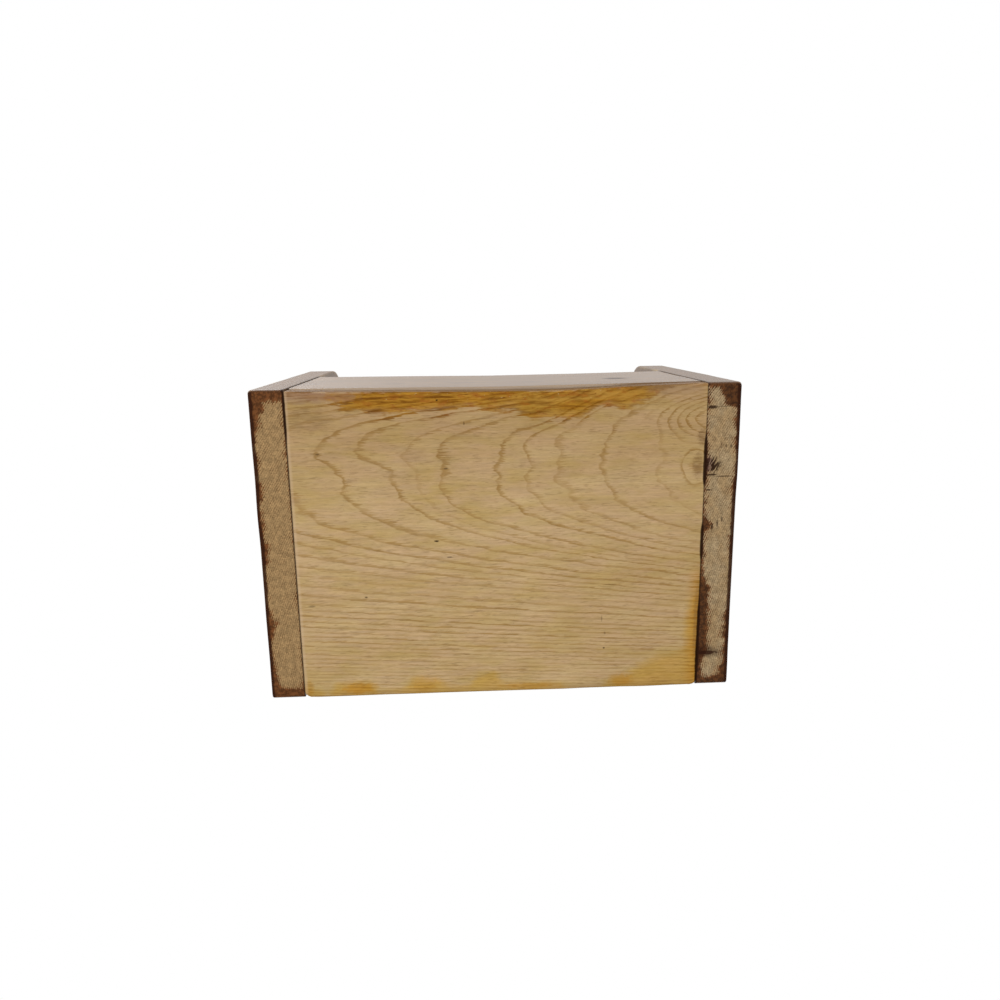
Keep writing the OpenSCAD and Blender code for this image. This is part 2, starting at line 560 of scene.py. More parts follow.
def pine(web, grain, late_wood):
    """The colour of bare pine, its relief and its late wood, which takes up that share of each ring. Grain
    is a place in millimetres with the grain along its first axis."""
    marks = {"Growth": web.mark("growth"), "Vigour": web.mark("vigour")}
    rings = web.group(RINGS, Vector=grain, Shake=0.85, Jag=0.7, Late_Wood=late_wood, **marks)
    fibres = web.group(FIBRES, Vector=grain)
    colour = web.tinted(PINE_WARM, PINE_PALE, fibres["Clouds"])
    colour = web.tinted(colour, PINE_PINK, fibres["Hue"], 0.6)
    colour = web.tinted(colour, PINE_LATE, rings["Late"], 0.82)
    colour = web.tinted(colour, PINE_LINE, rings["Line"], 0.13)
    colour = web.uneven(colour, fibres["Streaks"], 0.92, 1.07)
    colour = web.tinted(colour, PINE_FUZZ, web.span(fibres["Fuzz"], 0.28, 0.0))
    colour = web.tinted(colour, PINE_FLECK, fibres["Flecks"], 0.35)
    colour = web.tinted(colour, PINE_PORE, fibres["Pores"], 0.3)
    relief = web.less(web.times(rings["Late"], 0.4), web.times(fibres["Pores"], 0.5))
    relief = web.plus(relief, web.times(fibres["Fuzz"], 0.2))
    return colour, relief, rings["Late"]


# Marks on the underside. Each row has the middle along and across the board, half the length, half the width
# and the strength.

# Weathered grey patches by the front edge
GREY_PATCHES = (
    (-104.0, -86.5, 22.0, 6.5, 0.75),
    (-85.0, -85.5, 14.0, 4.0, 0.5),
    (98.0, -87.0, 26.0, 5.0, 0.45),
)
# Drips of amber varnish along the back edge
AMBER_DRIPS = (
    (-113.0, 84.0, 4.0, 8.0, 0.5),
    (-84.0, 85.0, 15.0, 5.5, 0.7),
    (18.0, 87.0, 24.0, 3.0, 0.6),
    (70.0, 85.0, 11.0, 6.0, 0.6),
    (-46.0, 84.0, 12.0, 8.0, 0.4),
)
# Brown smears
BROWN_SMEARS = (
    (-105.0, -73.0, 19.0, 10.0, 0.28),
    (-48.0, -54.0, 10.0, 8.0, 0.16),
    (38.0, -41.0, 13.0, 4.0, 0.14),
    (70.0, -42.0, 13.0, 13.0, 0.12),
    (114.0, -60.0, 4.5, 7.0, 0.6),
    (112.0, -44.0, 4.5, 11.0, 0.5),
    (115.0, 50.0, 3.0, 40.0, 0.5),
    (-100.0, -89.0, 17.0, 1.7, 0.7),
    (88.0, -88.6, 22.0, 2.4, 0.6),
)
# Small dark dents and scratches
UNDERSIDE_SPECKS = (
    (-33.5, -82.9, 0.9, 0.7, 0.9),
    (-36.0, -3.5, 2.0, 0.8, 0.9),
    (-28.9, 6.2, 2.4, 0.7, 0.5),
    (-77.2, 28.8, 1.5, 0.7, 0.7),
    (-108.4, 33.4, 3.0, 0.9, 0.45),
    (60.2, 64.4, 0.9, 0.8, 0.75),
    (-29.7, -45.0, 2.0, 0.7, 0.6),
    (-99.8, -54.4, 1.8, 0.7, 0.5),
    (-19.0, -70.0, 0.6, 1.6, 0.5),
    (58.7, 46.0, 0.6, 3.0, 0.35),
    (60.6, 55.0, 0.9, 1.4, 0.35),
    (63.5, 25.2, 5.5, 0.5, 0.4),
)


def specks(web, place, rows):
    """Small marks in one mask, each as strong as its row says."""
    spots = []
    for x, y, length, width, strength in rows:
        spot = web.group(SPECK, Vector=place, Middle=(x, y, 0.0), Length=length, Width=width)["Mark"]
        spots.append(web.times(spot, strength))
    return web.most(*spots)


def joint_dirt(web, place, from_joint):
    """Dirt along an end joint: ragged, and darker where it reaches far."""
    dirt = web.mark("dirt")
    ragged = web.span(web.noise(place, (5, 5, 5), 3, 0.6), 0.6, 1.4)
    inside = web.less(from_joint, web.times(dirt, ragged))
    return web.times(web.step(inside, 0.35, -0.25), web.span(web.step(dirt, 0.1, 0.7), 0.4, 0.95))


def front_film(web, place, axes, streaks):
    """The varnish that ran under the front edge: amber, paler in patches and to the right, with deep
    streaks and rusty patches."""
    to_right = web.step(axes[X], -30.0, 30.0)
    paler = web.times(web.patches(place, (30, 6, 8), 0.36, 0.54), web.span(to_right, 0.15, 1.0))
    paler = web.most(paler, web.times(web.step(axes[X], 55.0, 68.0), 0.8))
    film = web.tinted(AMBER_FILM, PALE_AMBER_FILM, paler)
    film = web.tinted(film, DEEP_FILM, streaks, web.span(to_right, 1.0, 0.7))
    rusty = web.patches(place, (9, 3.2, 8), 0.5, 0.66, 3, 0.6)
    return web.tinted(film, RUSTY_FILM, rusty, 0.85)


def bare_bottom():
    """Bare pine underneath, with amber varnish that ran round the edges, dirt in the end joints and a few
    marks."""
    material, web, shader = new_material("bare bottom board")
    set_gloss(shader, 0.03, 0.3)
    place = web.place()
    axes = web.axes(place)
    thin = web.mark("thin")
    front = web.step(axes[Y], 4.0 - HALF_DEPTH, 3.2 - HALF_DEPTH)
    streaks = web.patches(place, (20, 2.4, 8), 0.44, 0.62, 4, 0.65)

    # The wood, aged most at the front and on the right. Late wood is a tenth of a ring and about 1 mm more.
    late_wood = web.plus(0.1, web.math("DIVIDE", 1.1, web.mark("width")))
    colour, relief, late = pine(web, place, web.math("MINIMUM", late_wood, 0.33))
    aged = web.most(web.step(axes[Y], -15.0, -75.0), web.times(web.step(axes[X], 10.0, 95.0), 0.45))
    colour = web.filmed(colour, AGED_FILM, aged)

    # Varnish, which late wood drew further in along the front, with drips and a soaked right end
    by_front = web.times(web.step(axes[Y], -58.0, -74.0), web.step(axes[X], 75.0, 55.0))
    varnish = web.plus(web.mark("varnish"), web.times(late, web.span(by_front, 0.0, 3.0)))
    run = web.group(VARNISH, Vector=place, Varnish=varnish, Fray=8.0, Softness=web.span(thin, 1.9, 4.0))
    cover = run["Cover"]
    underneath = web.tinted(front_film(web, place, axes, streaks), THIN_FILM, thin)
    above = web.tinted(HONEY_FILM, EDGE_FILM, front)
    colour = web.filmed(colour, web.tinted(underneath, above, web.step(axes[Z], 0.25, 1.3)), cover)
    colour = web.filmed(colour, DEEP_FILM, run["Rim"], web.span(thin, 0.22, 0.0))
    by_joint = web.step(axes[X], TRAY_HALF_LENGTH - 10.0, TRAY_HALF_LENGTH)
    soaked = web.times(by_joint, web.step(axes[Y], 10.0, 26.0), web.span(late, 0.65, 1.0))
    colour = web.filmed(colour, DRIP_FILM, web.most(specks(web, place, AMBER_DRIPS), soaked))

    # Pale chips and dark crumbs in the varnish, weathered patches, smears and a darker strip along the back edge
    near_front = web.step(axes[Y], 12.0 - HALF_DEPTH, 5.0 - HALF_DEPTH)
    chips = web.times(web.patches(place, (2.6, 1.3, 4), 0.66, 0.72, 3, 0.6), near_front, 0.6)
    colour = web.tinted(colour, PINE_PALE, chips)
    crumbs = web.patches(place, (4.2, 1.3, 5), 0.6, 0.7, 4, 0.65)
    colour = web.filmed(colour, DEEP_FILM, crumbs, cover, web.span(thin, 0.7, 0.1))
    weathered = web.times(specks(web, place, GREY_PATCHES), web.span(streaks, 1.0, 0.45))
    colour = web.tinted(colour, GREY_WOOD, weathered)
    fibrous = web.span(web.patches(place, (6, 0.9, 8), 0.35, 0.62, 3, 0.6), 0.35, 1.15)
    smears = web.times(specks(web, place, BROWN_SMEARS), fibrous)
    # A darker strip along the back edge
    handled = web.times(web.step(axes[Y], HALF_DEPTH - 5.0, HALF_DEPTH - 1.0), 0.25)
    colour = web.tinted(colour, BROWN_SMEAR, web.most(smears, handled))

    # Pale wear with a painted highlight by the left joint and along the front arrises, and small dark marks
    # By the left joint the arris is pale worn wood with a painted highlight
    worn = web.times(web.step(axes[X], 2.6 - TRAY_HALF_LENGTH, 1.0 - TRAY_HALF_LENGTH), 0.35)
    colour = web.tinted(colour, PALE_ARRIS, worn)
    marks = specks(web, place, UNDERSIDE_SPECKS)
    colour = web.tinted(colour, DIRT_AND_SHADE, marks)
    # Along the front arris, patches of pale worn wood with a painted highlight
    rubbed = web.times(web.patches(place, (20, 7, 7), 0.5, 0.62, 3, 0.6), front, 0.5)
    colour = web.tinted(colour, PALE_ARRIS, rubbed, web.step(web.mark("arris"), 1.1, 0.3))

    # Dirt in the end joints, dirt and painted shade in the seam under the front board's overhang, and darker
    # towards the corners of the tray
    joint = joint_dirt(web, place, web.less(TRAY_HALF_LENGTH, web.math("ABSOLUTE", axes[X])))
    # Under the front board's overhang the seam is dirt and painted shade
    under_board = web.step(axes[Z], TRAY_FLOOR - 5.0, TRAY_FLOOR - 1.5)
    seam = web.times(under_board, front, web.patches(place, (17, 9, 9), 0.33, 0.5, 3, 0.6), 0.85)
    # Darker towards the corners of the tray
    corner_depth = web.times(web.mark("corner_depth"), 0.5)
    colour = web.tinted(colour, DIRT_AND_SHADE, web.most(joint, seam, corner_depth))

    web.feed(shader["Base Color"], colour)
    web.feed(shader["Roughness"], web.span(cover, 0.75, 0.5))
    glossy = web.times(web.step(axes[Z], 1.0, 3.0), web.span(web.most(front, joint), 0.3, 0.08))
    web.feed(shader["Coat Weight"], web.times(cover, glossy))
    web.feed(shader["Normal"], web.bump(web.less(relief, marks), 0.1))
    return material


def varnished(web, shader, place, order, film, wear_width):
    """Varnished pine, worn back to bare wood along its edges: its colour, and the share of the varnish that
    is left. Order gives the axes with the grain's own first."""
    set_gloss(shader, 0.08, 0.28)
    grain = web.turned(place, order)
    bare, relief, _ = pine(web, grain, 0.3)
    bare = web.uneven(bare, web.patches(grain, (150, 7, 7), 0.3, 0.7, 3, 0.6), 0.84, 1.12)
    wear = web.group(WEAR, Vector=place, Arris=web.mark("arris"), Width=wear_width)
    lost = web.plus(web.times(wear["Worn"], 0.42), web.times(wear["Scuffs"], 0.25))
    cover = web.less(1.0, web.math("MINIMUM", lost, 1.0))
    thicker = web.times(web.noise(place, (34, 34, 34), 3), 0.6)
    varnish = web.filmed(web.filmed(bare, film, 1.0), THICK_FILM, thicker)
    colour = web.tinted(bare, varnish, cover)
    # Darker towards the corners of the tray
    colour = web.tinted(colour, DIRT_AND_SHADE, web.mark("corner_depth"), 0.6)
    web.feed(shader["Normal"], web.bump(relief, 0.05))
    return colour, cover


# A knot in the front board: where it is, and the row for its mark, by place along X and Z
FRONT_KNOT = (74, -90, 53)
KNOT_MARK = ((FRONT_KNOT[X], FRONT_KNOT[Z], 11.0, 9.0, 0.8),)


def honey_sides():
    """Honey varnish on the front and back boards, with a rubbed lower edge and a knot in front."""
    material, web, shader = new_material("honey side boards")
    place = web.place()
    axes = web.axes(place)
    colour, cover = varnished(web, shader, place, (X, Y, Z), HONEY_FILM, BOARD_WEAR)
    outer = web.step(axes[Y], 6.0 - HALF_DEPTH, 5.0 - HALF_DEPTH)
    lower_edge = web.times(web.step(axes[Z], TRAY_FLOOR + 1.5, TRAY_FLOOR + 0.5), outer)
    rubbed = web.tinted(LOWER_EDGE, BROWN_SMEAR, web.step(axes[X], 55.0, 85.0))
    colour = web.tinted(colour, rubbed, lower_edge, 0.9)
    in_front = web.step(axes[Y], 0.0, -1.0)
    knot = web.times(specks(web, web.turned(place, (X, Z, Y)), KNOT_MARK), in_front)
    colour = web.tinted(colour, SOAKED_BLACK, knot)
    joint = web.step(web.math("ABSOLUTE", axes[X]), TRAY_HALF_LENGTH - 1.0, TRAY_HALF_LENGTH - 0.5)
    web.feed(shader["Base Color"], web.tinted(colour, DIRT_AND_SHADE, joint))
    web.feed(shader["Roughness"], web.span(cover, 0.7, 0.5))
    glossier = web.span(web.step(axes[X], -TRAY_HALF_LENGTH, TRAY_HALF_LENGTH), 0.59, 0.7)
    web.feed(shader["Coat Weight"], web.times(cover, glossier, web.span(knot, 1.0, 0.3)))
    return material


# Marks on the sawn lower end of the right end board, in rows of the same kind, by place along X and Y

# Two long cracks, each with a wide root and a fine tail, and a short one
END_CRACKS = (
    (118.6, -76.4, 4.6, 1.5, 0.9),
    (127.0, -76.7, 10.0, 0.4, 0.6),
    (119.4, -38.2, 5.5, 0.8, 0.9),
    (127.5, -37.2, 9.5, 0.5, 0.75),
    (118.5, -29.5, 2.6, 0.7, 0.9),
)
# Dark pores
END_PORES = (
    (127.6, -54.6, 0.9, 1.7, 0.55),
    (130.4, -54.3, 0.9, 1.9, 0.6),
    (124.8, -54.9, 0.8, 2.0, 0.45),
    (121.5, -8.0, 1.0, 3.5, 0.8),
    (124.5, -9.5, 0.9, 3.0, 0.7),
    (127.0, -12.0, 0.9, 2.4, 0.6),
)
# A dark bar, with a paler stain round it
END_BARS = (
    (121.5, 69.4, 12.0, 2.4, 0.95),
    (119.5, 69.0, 16.0, 5.5, 0.6),
)
# A torn place by the seam, and the bruise under it
TORN = ((120.2, -44.0, 7.0, 7.2, 0.95),)
BRUISED = ((118.0, -44.2, 4.5, 6.5, 0.9),)


def sawn_end(web, place, axes):
    """The sawn lower end of an end board: end grain, greyer on the right, with varnish that soaked in from
    the edges, a dark outer arris and the marks of the right end."""
    board = {"Vector": web.turned(place, (Z, Y, X)), "Growth": web.mark("growth")}
    late = web.group(RINGS, Vigour=1.0, Shake=0.8, Jag=1.0, Late_Wood=0.5, **board)["Late"]
    browner = web.times(web.patches(place, (8, 13, 40), 0.35, 0.65, 3), 0.6)
    browner = web.most(web.step(axes[X], 5.0, -5.0), browner)
    sawn = web.tinted(GRAIN_GREY, GRAIN_BROWN, browner)
    sawn = web.tinted(sawn, GRAIN_LINE, late, 0.6)
    sawn = web.uneven(sawn, web.patches(place, (0.9, 0.9, 9), 0.3, 0.7, 3, 0.65), 0.72, 1.22)
    sawn = web.uneven(sawn, web.patches(place, (2.6, 3.6, 20), 0.35, 0.65, 3, 0.6), 0.84, 1.13)

    # Soaked varnish, whose edge is ragged by lumps, by grains and by the rings
    lumps = web.times(web.swing(place, (5, 6, 20), 3, 0.65), 7.0)
    grains = web.times(web.swing(place, (1.1, 1.1, 9)), 2.5)
    soak = web.plus(web.mark("soak"), lumps, grains, web.times(web.less(late, 0.3), 2.4))
    rusty = web.patches(place, (2.2, 2.2, 9), 0.42, 0.6, 3, 0.65)
    stain = web.tinted(SOAKED_DARK, SOAKED, rusty)
    blackest = web.times(web.step(soak, 0.4, 3.0), web.span(web.step(axes[X], -5.0, 5.0), 0.25, 0.9))
    stain = web.tinted(stain, web.tinted(SOAKED_BLACK, SOAKED_DARK, rusty), blackest)
    sawn = web.tinted(sawn, stain, web.step(soak, -0.7, 1.0), 0.95)
    arris = web.less(web.mark("arris"), web.times(web.noise(place, (3, 5, 9), 3, 0.6), 2.0))
    outer = web.step(web.math("ABSOLUTE", axes[X]), END_MIDDLE_X, END_MIDDLE_X + 4.0)
    sawn = web.tinted(sawn, SOAKED_BLACK, web.step(arris, 0.5, -0.5), outer, 0.9)

    # The marks of the right end. The torn place has slanted strokes.
    sawn = web.tinted(sawn, SOAKED_BLACK, specks(web, place, END_BARS))
    sawn = web.tinted(sawn, BRUISE, specks(web, place, BRUISED), 0.6)
    slanted = web.vector(web.plus(axes[X], web.times(axes[Y], 0.45)), axes[Y], axes[Z])
    strokes = web.patches(slanted, (1.1, 4.5, 9), 0.42, 0.5, 1)
    sawn = web.tinted(sawn, DIRT_AND_SHADE, specks(web, place, TORN), strokes)
    return web.tinted(sawn, DIRT_AND_SHADE, specks(web, place, END_CRACKS + END_PORES))


def brown_ends():
    """Brown varnish on the end boards, over upright grain, with bare sawn lower ends and dirt along the
    tray."""
    material, web, shader = new_material("brown end boards")
    place = web.place()
    axes = web.axes(place)
    colour, cover = varnished(web, shader, place, (Z, Y, X), BROWN_FILM, BOARD_WEAR)
    colour = web.tinted(colour, SOAKED_DARK, web.step(axes[Z], 4.0, 0.6), 0.6)
    lower_end = web.step(axes[Z], 0.9, 0.35)
    colour = web.tinted(colour, sawn_end(web, place, axes), lower_end)
    from_middle = web.math("ABSOLUTE", axes[X])
    in_front = web.step(axes[Y], 2.0 - HALF_DEPTH, 0.5 - HALF_DEPTH)
    from_joint = web.less(from_middle, TRAY_HALF_LENGTH, web.times(in_front, 0.7))
    below_top = web.step(axes[Z], TRAY_TOP + 1.0, TRAY_TOP)
    inner_face = web.step(from_middle, TRAY_HALF_LENGTH + 0.2, TRAY_HALF_LENGTH + 0.1)
    in_tray = web.times(inner_face, web.step(axes[Z], 1.2, 1.6))
    joint = web.times(joint_dirt(web, place, from_joint), below_top, web.less(1.0, in_tray))
    web.feed(shader["Base Color"], web.tinted(colour, DIRT_AND_SHADE, joint))
    web.feed(shader["Roughness"], web.most(web.span(cover, 0.7, 0.5), web.times(lower_end, 0.85)))
    glossier = web.span(web.step(axes[X], -5.0, 5.0), 0.34, 0.5)
    web.feed(shader["Coat Weight"], web.times(web.less(1.0, web.most(lower_end, joint)), glossier))
    return material


def worn_rod():
    """Honey varnish on the rod, scuffed by hands."""
    material, web, shader = new_material("worn handle rod")
    colour, cover = varnished(web, shader, web.place(), (X, Y, Z), HONEY_FILM, ROD_WEAR)
    web.feed(shader["Base Color"], colour)
    web.feed(shader["Roughness"], web.span(cover, 0.65, 0.45))
    web.feed(shader["Coat Weight"], web.times(cover, 0.5))
    return material


def dull_nails():
    """Dull steel nails with rust in patches."""
    material, web, shader = new_material("dull nails")
    place = web.place()
    rust = web.patches(place, (1.4, 1.4, 1.4), 0.42, 0.6, 4, 0.65)
    web.feed(shader["Base Color"], web.tinted(STEEL, RUST, rust))
    web.feed(shader["Metallic"], web.span(rust, 0.9, 0.1))
    web.feed(shader["Roughness"], web.span(rust, 0.42, 0.8))
    web.feed(shader["Normal"], web.bump(web.noise(place, (0.5, 0.5, 0.5), 3), 0.06))
    return material


# Pieces

# The line across which the rings' loops on the underside are folded, and how far past it the back arms start
HEART_Y = -53
BACK_START = 10
# How the tip of a point's loop falls behind: a share of a power of the distance from there, for either arm
FRONT_SHARE, FRONT_POWER = 0.0126, 2.6
BACK_SHARE, BACK_POWER = 0.0053, 2.53
# The tip falls behind this much more with each millimetre up through the board
RISE = 7.7
# Near the right end the arms towards the front edge are steeper, by place along the board
FRONT_STEEPNESS = ((20, 1.0), (60, 0.72))
# The loops: where the tips of the front arm and the back arm lie along the board, and how strong the arms are
LOOPS = (
    (-285, -272, 0.8, 0.9), (-250, -236, 0.8, 0.8), (-215, -202, 0.6, 1.0), (-185, -174, 0.9, 0.7),
    (-160, -150, 0.8, 0.9), (-138, -124, 0.8, 1.0), (-103, -90, 1.0, 0.9), (-81, -60, 1.0, 1.1),
    (-52, -48, 0.3, 0.15), (-34, -34, 1.9, 1.6), (0, -3, 0.9, 1.0), (14, 14, 1.5, 0.9),
    (30, 32, 0.8, 0.85), (58, 58, 1.0, 0.9), (74, 72, 0.1, 0.1), (92, 88, 0.6, 0.5), (110, 108, 0.4, 0.3),
)
# How many more loops there are on either side, and how far apart their tips are, on average
MORE_LOOPS = 40
LEFT_STEP = 43
RIGHT_STEP = 17
# Knots by the right end of the underside: the middle, the half-sizes and how many rings each lifts
KNOTS = (
    ((113, -43, 0), (9, 11, 9), 2.2),
    ((124, -72, 0), (30, 12, 30), -4.2),
)
# How far the varnish ran over the underside, by place along the front edge, the back edge and the right end
FRONT_RUN = (
    (-116, 3), (-100, 4), (-90, 6.5), (-85, 9.5), (-74, 11.5), (-55, 13), (-48, 12), (-38, 11), (-27, 10.5),
    (-18, 9.5), (-8, 10), (9, 11), (14, 14), (18, 16), (46, 16.5), (51, 13.5), (57, 10.5), (62, 10.5), (69, 13),
    (76, 11), (84, 8.5), (89, 4), (95, 2), (116, 0),
)
BACK_RUN = (
    (-116, 7), (-108, 6), (-103, 1), (-97, 9), (-78, 10), (-72, 3), (-60, 4), (-53, 10), (-38, 10), (-30, 5),
    (-20, 5), (-14, 12), (-5, 13), (2, 6), (34, 5), (42, 0), (56, 0), (62, 4), (72, 8), (80, 14), (92, 20),
    (116, 24),
)
RIGHT_RUN = ((-90, -9), (18, -9), (34, 3), (48, 9), (62, 8), (76, 12), (90, 20))
# How far the dirt of the left and right end joints reaches, by place along Y
JOINT_DIRT = {
    -1: ((-90, 0.7), (-68, 0.7), (-60, 0.4), (90, 0.4)),
    1: (
        (-90, 0.2), (-64, 0.2), (-55, 1.0), (-36, 1.0), (-31, 0.25), (-11, 0.25), (-6, 0.9), (7, 0.9),
        (13, 0.35), (34, 0.4), (44, 0.8), (66, 0.9), (74, 1.0), (90, 0.7),
    ),
}
# How far the bottom board's front edge is worn back and the front board stands back, by place along the tray
BOTTOM_BACK = ((-116, 1.0), (-80, 1.8), (-40, 2.5), (0, 2.9), (35, 3.0), (60, 2.1), (85, 1.1), (116, 0.4))
FRONT_BACK = ((-116, 0.3), (-60, 0.7), (0, 1.2), (60, 0.7), (116, 0.1))
# How far the bottom board's back corners are worn, on the left and on the right, and how fast that falls off
LEFT_CORNER_WEAR, RIGHT_CORNER_WEAR = 3.6, 2.4
CORNER_FALL = 1.8
# The side boards' rings: their width, and how far behind the outer face the heart of the tree lies
SIDE_RING = 3.4
SIDE_HEART_DEPTH = 55
# How shallow the waves are in the faces of the tray's boards, in those of the end boards and on their tops
TRAY_SINK, END_SINK, TOP_SINK = 0.12, 0.1, 0.08


def dirt_reach(points):
    """How far the dirt of the end joint on a point's own side reaches."""
    left, right = (by_place(points, Y, JOINT_DIRT[side]) for side in (-1, 1))
    return np.where(points[:, X] < 0, left, right)


def loop_rings(points):
    """The ring number on a flat-sawn board, whose rings cut its face in long loops. The tip of the loop
    through a point gives the number. A knot lifts the rings round it, by a bell curve with a flat top. With
    the number comes the ring's strength."""
    across = points[:, Y] - HEART_Y
    steepness = by_place(points, X, FRONT_STEEPNESS)
    front = FRONT_SHARE * np.maximum(-across * steepness, 0) ** FRONT_POWER
    back = BACK_SHARE * np.maximum(across - BACK_START, 0) ** BACK_POWER
    tip = points[:, X] - front - back - RISE * points[:, Z]
    in_back = smooth_step(across, 0, BACK_START)
    rng = np.random.default_rng(5)
    before = np.cumsum(LEFT_STEP * rng.uniform(0.85, 1.15, MORE_LOOPS))[::-1]
    after = np.cumsum(np.full(MORE_LOOPS, RIGHT_STEP))
    uneven = rng.uniform(0.7, 1.0, MORE_LOOPS)
    faint = np.full(MORE_LOOPS, 0.4)
    numbers = []
    vigours = []
    front_tips, back_tips, front_strengths, back_strengths = zip(*LOOPS)
    for tips, strengths in ((front_tips, front_strengths), (back_tips, back_strengths)):
        tips = np.concatenate([tips[0] - before, tips, tips[-1] + after])
        numbers.append(-np.interp(tip, tips, np.arange(len(tips))))
        vigours.append(np.interp(tip, tips, np.concatenate([uneven, strengths, faint])))
    number = numbers[0] + (numbers[1] - numbers[0]) * in_back
    vigour = vigours[0] + (vigours[1] - vigours[0]) * in_back
    for middle, half_sizes, rings in KNOTS:
        away = np.linalg.norm((points - middle) / half_sizes, axis=1)
        lift = np.exp(-(away**2.6))
        number = number + rings * lift
        vigour = np.maximum(vigour, 1.2 * smooth_step(lift, 0.05, 0.3))
    return number, vigour


def ring_width(points):
    """How wide the ring at a point is on the face: a short way along and across it, over the rings counted
    there."""
    short = 0.5
    narrowest, widest = 2, 40
    here = loop_rings(points)[0]
    along = loop_rings(points + np.array([short, 0, 0]))[0] - here
    across = loop_rings(points + np.array([0, short, 0]))[0] - here
    return np.clip(short / np.maximum(np.hypot(along, across), short / widest), narrowest, widest)


def make_bottom_board(material):
    """The bottom board, a lattice box with worn arrises. A smooth step from its middle to its front edge
    moves that edge back by place along the tray, a curve that falls off from the ends wears its back
    corners, and its two faces sink in shallow waves."""
    low, high, points, quads = tray_board("bottom_board", BOTTOM_STEP)
    ran_under = by_place(points, X, FRONT_RUN) - (points[:, Y] - low[Y])
    # Above the lowest millimetre the edges and the tray's floor are varnished all over
    full_run = np.maximum(ran_under, (points[:, Z] - 1) * 4)
    back_run = by_place(points, X, BACK_RUN) - (high[Y] - points[:, Y])
    right_run = by_place(points, Y, RIGHT_RUN) - (high[X] - points[:, X])
    thin_run = np.maximum(back_run, right_run)
    growth, vigour = loop_rings(points)
    marks = {
        "growth": growth,
        "vigour": vigour,
        "width": ring_width(points),
        "arris": arris_distance(points, low, high),
        "varnish": np.maximum(full_run, thin_run),
        "thin": smooth_step(thin_run - full_run, -1, 1),
        "dirt": dirt_reach(points),
        "corner_depth": tray_corner_depth(points),
    }
    # The arrises are uneven along their length, and wider in front
    worn_front = smooth_step(-points[:, Y], HALF_DEPTH - 20, HALF_DEPTH)
    radius = 1.1 + 0.45 * ripple(points, 17, 1) + 0.6 * worn_front * (1 + ripple(points, 29, 2)) / 2
    points = round_arrises(points, low, high, radius)
    near_front = smooth_step(-points[:, Y], HALF_DEPTH - 40, HALF_DEPTH)
    points[:, Y] += by_place(points, X, BOTTOM_BACK) * near_front
    from_end = TRAY_HALF_LENGTH - np.abs(points[:, X])
    near_back = smooth_step(points[:, Y], HALF_DEPTH - 12, HALF_DEPTH)
    near_back = near_back * smooth_step(points[:, Z], TRAY_FLOOR - 2, 2)
    corner_wear = np.where(points[:, X] < 0, LEFT_CORNER_WEAR, RIGHT_CORNER_WEAR)
    points[:, Y] -= corner_wear * np.exp(-from_end / CORNER_FALL) * near_back
    sink = waves(points, TRAY_SINK, (60, 24, 60), 3)
    points[:, Z] += np.where(points[:, Z] < TRAY_FLOOR / 2, sink, -sink)
    make_piece("bottom_board_wood", "bottom_board", points, quads.tolist(), marks, material)


def side_rings(points, sign, seed):
    """The ring number on a side board: cylinders about a heart that lies well behind its outer face, at a
    slope, shaken a little."""
    rng = np.random.default_rng(seed)
    heart_z = rng.uniform(40, 70)
    slope = rng.uniform(0.06, 0.1)
    depth = SIDE_HEART_DEPTH + sign * points[:, Y] - HALF_DEPTH + slope * points[:, X]
    radius = np.hypot(points[:, Z] - heart_z, depth)
    return radius / SIDE_RING + 0.35 * ripple(points, (70, 30, 22), seed)


def make_side_board(name, node, sign, seed, material):
    """A side board, a lattice box with worn arrises, whose two faces sink in shallow waves. The front board
    also has a knot, where a bell curve lifts the rings, and stands back by place along the tray. Sign is -1
    in front."""
    low, high, points, quads = tray_board(node, SIDE_STEP)
    growth = side_rings(points, sign, seed)
    if sign < 0:
        from_knot = np.linalg.norm(points - FRONT_KNOT, axis=1)
        growth += 5 * np.exp(-((from_knot / 6) ** 2))
    marks = {
        "growth": growth,
        "vigour": np.ones(len(points)),
        "arris": arris_distance(points, low, high),
        "corner_depth": tray_corner_depth(points),
    }
    points = round_arrises(points, low, high, 1.2 + 0.5 * ripple(points, 19, seed + 1))
    if sign < 0:
        points[:, Y] += by_place(points, X, FRONT_BACK)
    sink = waves(points, TRAY_SINK, (60, 60, 24), seed + 2)
    outer = np.abs(points[:, Y]) > (HALF_DEPTH + TRAY_HALF_DEPTH) / 2
    points[:, Y] -= np.sign(points[:, Y]) * np.where(outer, sink, -sink)
    make_piece(name, node, points, quads.tolist(), marks, material)


def arc(middle, radius, start_degrees, count):
    """A quarter circle of points, as (y, z)."""
    turn = np.radians(np.linspace(start_degrees, start_degrees + 90, count))
    return np.stack([middle[0] + radius * np.cos(turn), middle[1] + radius * np.sin(turn)], 1)


def end_outline():
    """An end board's outline as (y, z): small arcs at the lower corners, large ones at the shoulders, and
    straight runs with points closer together along the lower end."""
    corner = 2.4
    corner_count, shoulder_count = 6, 34
    lower_y = HALF_DEPTH - corner
    upper_y = HALF_DEPTH - SHOULDER_RADIUS
    upper_z = END_HEIGHT - SHOULDER_RADIUS
    arcs = [
        arc((lower_y, corner), corner, -90, corner_count),
        arc((upper_y, upper_z), SHOULDER_RADIUS, 0, shoulder_count),
        arc((-upper_y, upper_z), SHOULDER_RADIUS, 90, shoulder_count),
        arc((-lower_y, corner), corner, 180, corner_count),
    ]
    # The steps along the back edge, the top, the front edge and the lower end
    run_counts = (62, 34, 62, 160)
    loop = []
    for i, count in enumerate(run_counts):
        start, stop = arcs[i][-1], arcs[(i + 1) % len(arcs)][0]
        loop += [arcs[i], np.linspace(start, stop, count + 1)[1:-1]]
    return np.concatenate(loop)


